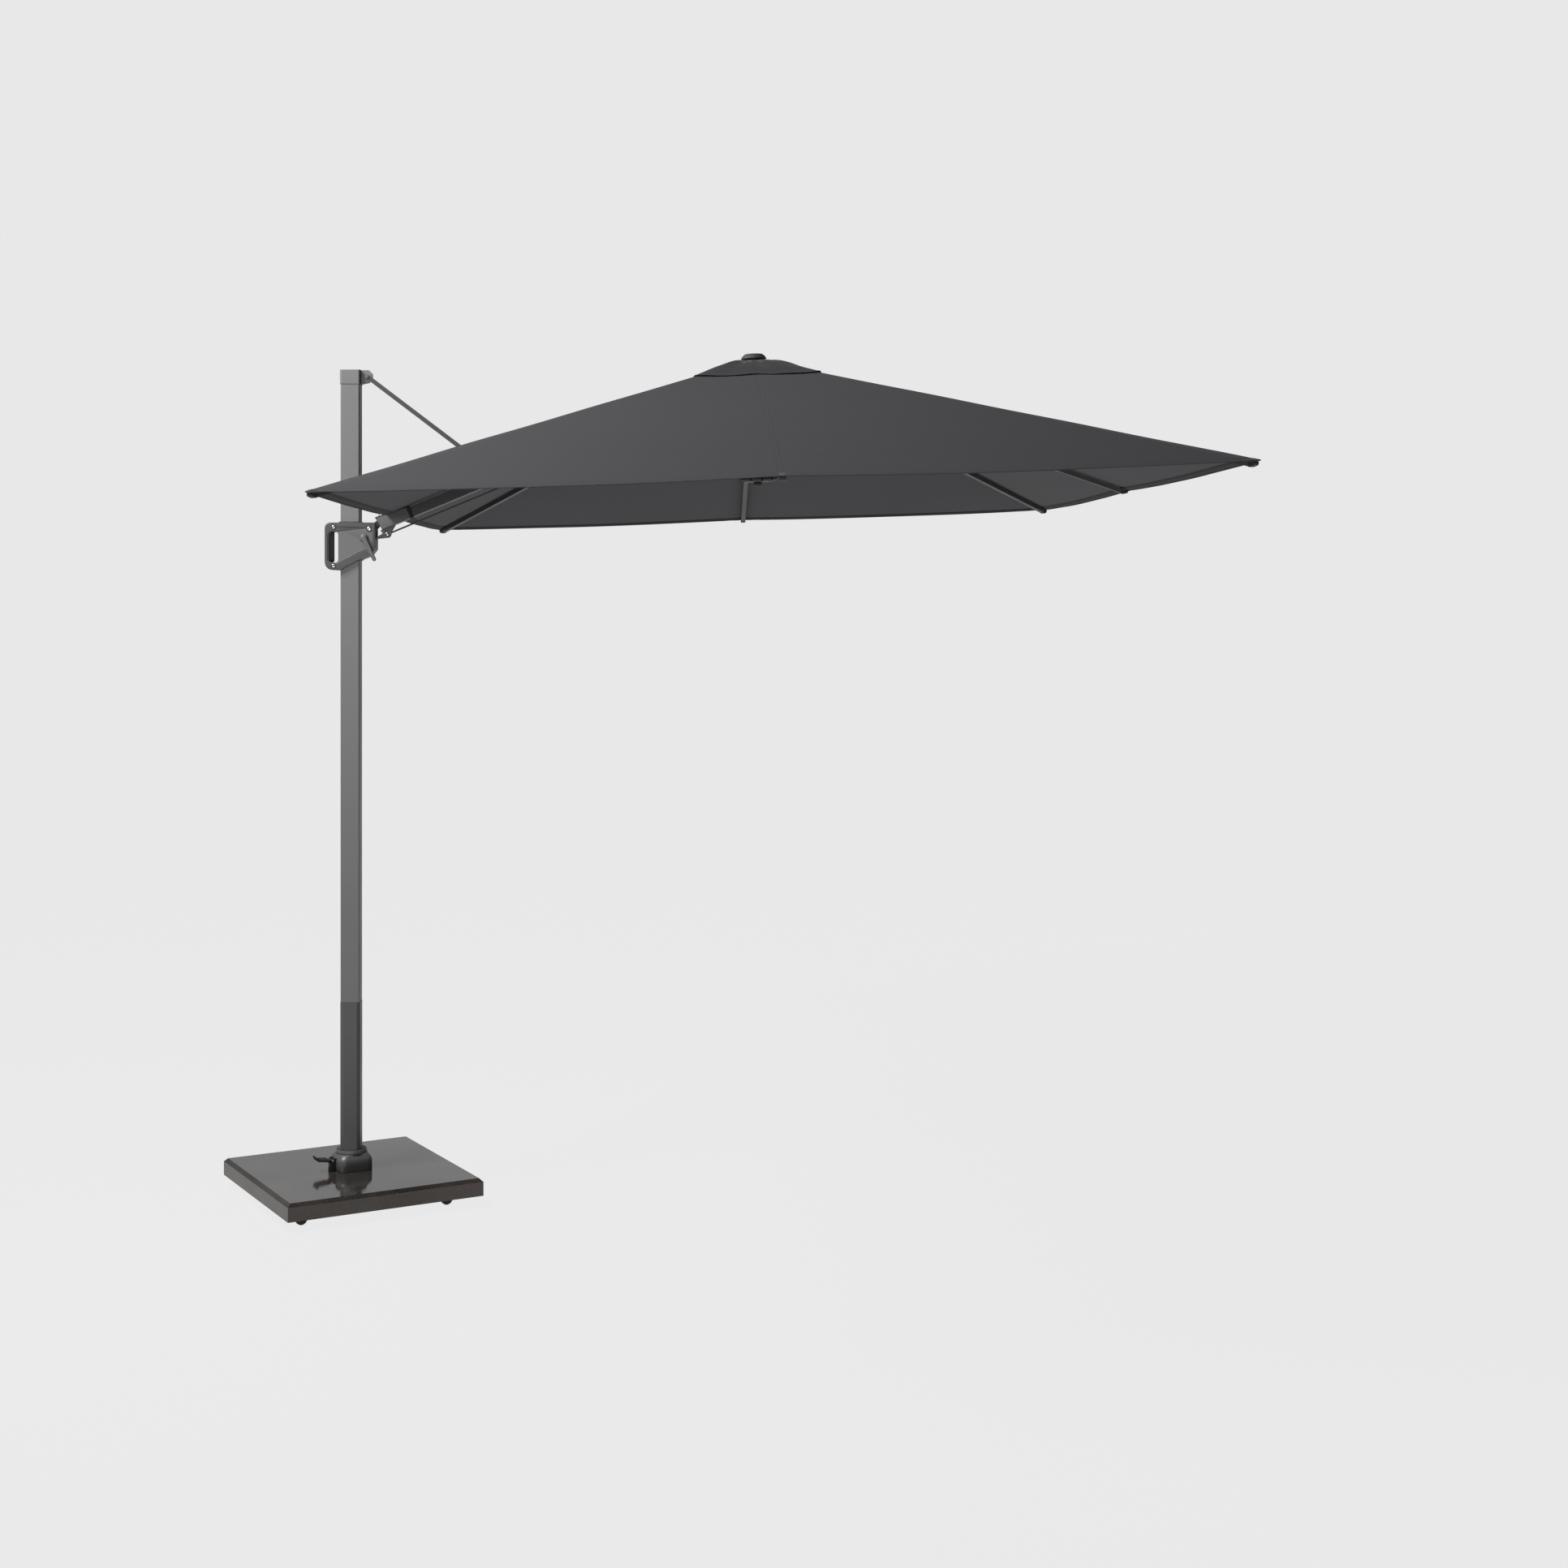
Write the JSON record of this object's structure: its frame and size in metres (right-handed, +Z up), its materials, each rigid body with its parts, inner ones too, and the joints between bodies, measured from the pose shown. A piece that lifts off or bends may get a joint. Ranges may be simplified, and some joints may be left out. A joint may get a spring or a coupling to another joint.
{
  "type": "cantilever parasol",
  "caption": "Offset garden parasol: side mast on a wheeled stone slab, sliding handle, raised arm and stay, and a shallow rectangular canopy with a vent flap.",
  "frame": {"origin": "on the floor, under the middle of the object's bounding box", "axes": "+Z up, +X along the arm from the mast to the canopy, +Y across the canopy"},
  "size_m": [3.1994, 3.5, 2.9482],
  "materials": {
    "granite": "polished",
    "mast_paint": "satin",
    "dark_paint": "satin",
    "grey_plastic": "matte",
    "black_plastic": "matte",
    "steel": "satin",
    "wheel_tread": "matte",
    "cloth": "matte",
    "dark_steel": "satin"
  },
  "bodies": {
    "base": {"base_slab": "granite", "socket_housing": "grey_plastic", "socket_ring": "grey_plastic", "bearing_tube": "steel"},
    "mast": {"lower_mast": "dark_paint", "upper_mast": "mast_paint", "mast_cap": "dark_paint", "stay_top_pin": "steel"},
    "carriage": {"carriage_near": "grey_plastic", "carriage_far": "grey_plastic", "slide_bush": "black_plastic", "grip_bolt_upper": "steel", "grip_bolt_lower": "steel", "arm_pivot_bolt": "steel", "rod_pivot_bolt": "steel"},
    "handle_trigger": {"trigger": "black_plastic"},
    "lever": {"clamp_lever": "grey_plastic"},
    "arm_body": {"arm_socket": "grey_plastic", "arm": "dark_paint"},
    "levelling": {"level_rod": "steel"},
    "stay_bars": {"stay": "dark_steel"},
    "hub": {"top_hub": "grey_plastic", "centre_pole": "dark_paint", "pole_knob": "black_plastic", "finial": "black_plastic", "canopy": "cloth", "vent_flap": "cloth"},
    "runner_body": {"runner": "black_plastic"},
    "pedal": {"foot_pedal": "black_plastic"},
    "lock": {"lock_pin": "steel"},
    "castor_1": {"castor_fork_1": "steel"},
    "castor_roller_1": {"castor_wheel_1": "wheel_tread"},
    "castor_2": {"castor_fork_2": "steel"},
    "castor_roller_2": {"castor_wheel_2": "wheel_tread"},
    "castor_3": {"castor_fork_3": "steel"},
    "castor_roller_3": {"castor_wheel_3": "wheel_tread"},
    "castor_4": {"castor_fork_4": "steel"},
    "castor_roller_4": {"castor_wheel_4": "wheel_tread"},
    "rib_end_body": {"rib_end": "dark_paint", "rib_cap_end": "black_plastic"},
    "stretcher_end_body": {"stretcher_end": "dark_paint"},
    "rib_near_outer_body": {"rib_near_outer": "dark_paint", "rib_cap_near_outer": "black_plastic"},
    "stretcher_near_outer_body": {"stretcher_near_outer": "dark_paint"},
    "rib_far_outer_body": {"rib_far_outer": "dark_paint", "rib_cap_far_outer": "black_plastic"},
    "stretcher_far_outer_body": {"stretcher_far_outer": "dark_paint"},
    "rib_near_side_body": {"rib_near_side": "dark_paint", "rib_cap_near_side": "black_plastic"},
    "stretcher_near_side_body": {"stretcher_near_side": "dark_paint"},
    "rib_far_side_body": {"rib_far_side": "dark_paint", "rib_cap_far_side": "black_plastic"},
    "stretcher_far_side_body": {"stretcher_far_side": "dark_paint"},
    "rib_near_inner_body": {"rib_near_inner": "dark_paint", "rib_cap_near_inner": "black_plastic"},
    "stretcher_near_inner_body": {"stretcher_near_inner": "dark_paint"},
    "rib_far_inner_body": {"rib_far_inner": "dark_paint", "rib_cap_far_inner": "black_plastic"},
    "stretcher_far_inner_body": {"stretcher_far_inner": "dark_paint"}
  },
  "joints": [
    {"name": "mast_swivel", "type": "hinge", "parent": "base", "child": "mast", "pos_m": [-1.125, 0, 0.098], "axis": [0, 0, 1], "continuous": true},
    {"name": "castor_swivel_1", "type": "hinge", "parent": "base", "child": "castor_1", "pos_m": [-1.23023, -0.35527, 0.04], "axis": [0, 0, 1], "continuous": true},
    {"name": "castor_roll_1", "type": "hinge", "parent": "castor_1", "child": "castor_roller_1", "pos_m": [-1.24078, -0.36099, 0.021], "axis": [-0.4772, 0.8788, 0], "continuous": true},
    {"name": "castor_swivel_2", "type": "hinge", "parent": "base", "child": "castor_2", "pos_m": [-0.76973, -0.10523, 0.04], "axis": [0, 0, 1], "continuous": true},
    {"name": "castor_roll_2", "type": "hinge", "parent": "castor_2", "child": "castor_roller_2", "pos_m": [-0.78028, -0.11096, 0.021], "axis": [-0.4772, 0.8788, 0], "continuous": true},
    {"name": "castor_swivel_3", "type": "hinge", "parent": "base", "child": "castor_3", "pos_m": [-1.01977, 0.35527, 0.04], "axis": [0, 0, 1], "continuous": true},
    {"name": "castor_roll_3", "type": "hinge", "parent": "castor_3", "child": "castor_roller_3", "pos_m": [-1.03031, 0.34954, 0.021], "axis": [-0.4772, 0.8788, 0], "continuous": true},
    {"name": "castor_swivel_4", "type": "hinge", "parent": "base", "child": "castor_4", "pos_m": [-1.48027, 0.10523, 0.04], "axis": [0, 0, 1], "continuous": true},
    {"name": "castor_roll_4", "type": "hinge", "parent": "castor_4", "child": "castor_roller_4", "pos_m": [-1.49081, 0.09951, 0.021], "axis": [-0.4772, 0.8788, 0], "continuous": true},
    {"name": "pedal_press", "type": "hinge", "parent": "base", "child": "pedal", "pos_m": [-1.18915, -0.03483, 0.13435], "axis": [-0.4772, 0.8788, 0], "range_deg": [-18, 0], "stiffness_Nm_per_rad": 3},
    {"name": "lock_draw", "type": "slide", "parent": "base", "child": "lock", "axis": [-0.8788, -0.4772, 0], "range_m": [0, 0.006]},
    {"name": "carriage_slide", "type": "slide", "parent": "mast", "child": "carriage", "axis": [0, 0, 1], "range_m": [-0.511, 0], "deforming": ["canopy", "vent_flap"]},
    {"name": "arm_tilt", "type": "hinge", "parent": "carriage", "child": "arm_body", "pos_m": [-1.0571, 0, 2.334], "axis": [0, -1, 0], "range_deg": [0, 57.6]},
    {"name": "rod_tilt", "type": "hinge", "parent": "carriage", "child": "levelling", "pos_m": [-0.9983, 0, 2.3162], "axis": [0, -1, 0], "range_deg": [0, 57.6]},
    {"name": "stay_swing", "type": "hinge", "parent": "mast", "child": "stay_bars", "pos_m": [-1.0682, 0, 2.867], "axis": [0, -1, 0], "range_deg": [-43.5, 0]},
    {"name": "hub_level", "type": "hinge", "parent": "arm_body", "child": "hub", "pos_m": [0.16205, 0, 2.83899], "axis": [0, 1, 0], "range_deg": [0, 57.6]},
    {"name": "runner_slide", "type": "slide", "parent": "hub", "child": "runner_body", "axis": [-0.033, 0, 0.9995], "range_m": [0, 0.3705]},
    {"name": "rib_fold_end", "type": "hinge", "parent": "hub", "child": "rib_end_body", "pos_m": [0.36485, 0, 2.88788], "axis": [0, 1, 0], "range_deg": [0, 66]},
    {"name": "stretcher_fold_end", "type": "hinge", "parent": "runner_body", "child": "stretcher_end_body", "pos_m": [0.34907, 0.013, 2.51716], "axis": [0, 1, 0], "range_deg": [0, 97.62]},
    {"name": "rib_fold_near_outer", "type": "hinge", "parent": "hub", "child": "rib_near_outer_body", "pos_m": [0.33226, -0.06422, 2.89632], "axis": [0.8023, 0.5963, 0.0265], "range_deg": [0, 74.14]},
    {"name": "stretcher_fold_near_outer", "type": "hinge", "parent": "runner_body", "child": "stretcher_near_outer_body", "pos_m": [0.33821, -0.03399, 2.52631], "axis": [0.8023, 0.5963, 0.0265], "range_deg": [0, 90.61]},
    {"name": "rib_fold_far_outer", "type": "hinge", "parent": "hub", "child": "rib_far_outer_body", "pos_m": [0.33226, 0.06422, 2.89632], "axis": [-0.8023, 0.5963, -0.0265], "range_deg": [0, 74.14]},
    {"name": "stretcher_fold_far_outer", "type": "hinge", "parent": "runner_body", "child": "stretcher_far_outer_body", "pos_m": [0.31735, 0.04949, 2.52562], "axis": [-0.8023, 0.5963, -0.0265], "range_deg": [0, 90.61]},
    {"name": "rib_fold_near_side", "type": "hinge", "parent": "hub", "child": "rib_near_side_body", "pos_m": [0.28462, -0.08, 2.89355], "axis": [0.9995, 0, 0.033], "range_deg": [0, 71.11]},
    {"name": "stretcher_fold_near_side", "type": "hinge", "parent": "runner_body", "child": "stretcher_near_side_body", "pos_m": [0.30982, -0.052, 2.52418], "axis": [0.9995, 0, 0.033], "range_deg": [0, 93.22]},
    {"name": "rib_fold_far_side", "type": "hinge", "parent": "hub", "child": "rib_far_side_body", "pos_m": [0.28462, 0.08, 2.89355], "axis": [-0.9995, 0, -0.033], "range_deg": [0, 71.11]},
    {"name": "stretcher_fold_far_side", "type": "hinge", "parent": "runner_body", "child": "stretcher_far_side_body", "pos_m": [0.28383, 0.052, 2.52332], "axis": [-0.9995, 0, -0.033], "range_deg": [0, 93.22]},
    {"name": "rib_fold_near_inner", "type": "hinge", "parent": "hub", "child": "rib_near_inner_body", "pos_m": [0.2369, -0.06422, 2.89317], "axis": [0.8023, -0.5963, 0.0265], "range_deg": [0, 74.14]},
    {"name": "stretcher_fold_near_inner", "type": "hinge", "parent": "runner_body", "child": "stretcher_near_inner_body", "pos_m": [0.27622, -0.04949, 2.52427], "axis": [0.8023, -0.5963, 0.0265], "range_deg": [0, 90.61]},
    {"name": "rib_fold_far_inner", "type": "hinge", "parent": "hub", "child": "rib_far_inner_body", "pos_m": [0.2369, 0.06422, 2.89317], "axis": [-0.8023, -0.5963, -0.0265], "range_deg": [0, 74.14]},
    {"name": "stretcher_fold_far_inner", "type": "hinge", "parent": "runner_body", "child": "stretcher_far_inner_body", "pos_m": [0.25536, 0.03399, 2.52358], "axis": [-0.8023, -0.5963, -0.0265], "range_deg": [0, 90.61]},
    {"name": "trigger_squeeze", "type": "slide", "parent": "carriage", "child": "handle_trigger", "axis": [-1, 0, 0], "range_m": [0, 0.004], "stiffness_N_per_m": 800},
    {"name": "lever_turn", "type": "hinge", "parent": "carriage", "child": "lever", "pos_m": [-1.0744, -0.042, 2.301], "axis": [0, -1, 0], "range_deg": [-10, 80]}
  ],
  "couplings": [
    {"joint": "lock_draw", "follows": "pedal_press", "m_per_rad": -0.019099},
    {"joint": "arm_tilt", "follows": "carriage_slide", "rad_per_m": -1.9639},
    {"joint": "rod_tilt", "follows": "carriage_slide", "rad_per_m": -1.9639},
    {"joint": "stay_swing", "follows": "carriage_slide", "rad_per_m": 1.4784},
    {"joint": "hub_level", "follows": "carriage_slide", "rad_per_m": -1.9639},
    {"joint": "runner_slide", "follows": "carriage_slide", "ratio": -0.72407},
    {"joint": "rib_fold_end", "follows": "carriage_slide", "rad_per_m": -2.251},
    {"joint": "stretcher_fold_end", "follows": "carriage_slide", "rad_per_m": -3.3309},
    {"joint": "rib_fold_near_outer", "follows": "carriage_slide", "rad_per_m": -2.529},
    {"joint": "stretcher_fold_near_outer", "follows": "carriage_slide", "rad_per_m": -3.0914},
    {"joint": "rib_fold_far_outer", "follows": "carriage_slide", "rad_per_m": -2.529},
    {"joint": "stretcher_fold_far_outer", "follows": "carriage_slide", "rad_per_m": -3.0914},
    {"joint": "rib_fold_near_side", "follows": "carriage_slide", "rad_per_m": -2.4253},
    {"joint": "stretcher_fold_near_side", "follows": "carriage_slide", "rad_per_m": -3.1806},
    {"joint": "rib_fold_far_side", "follows": "carriage_slide", "rad_per_m": -2.4253},
    {"joint": "stretcher_fold_far_side", "follows": "carriage_slide", "rad_per_m": -3.1806},
    {"joint": "rib_fold_near_inner", "follows": "carriage_slide", "rad_per_m": -2.529},
    {"joint": "stretcher_fold_near_inner", "follows": "carriage_slide", "rad_per_m": -3.0914},
    {"joint": "rib_fold_far_inner", "follows": "carriage_slide", "rad_per_m": -2.529},
    {"joint": "stretcher_fold_far_inner", "follows": "carriage_slide", "rad_per_m": -3.0914}
  ]
}
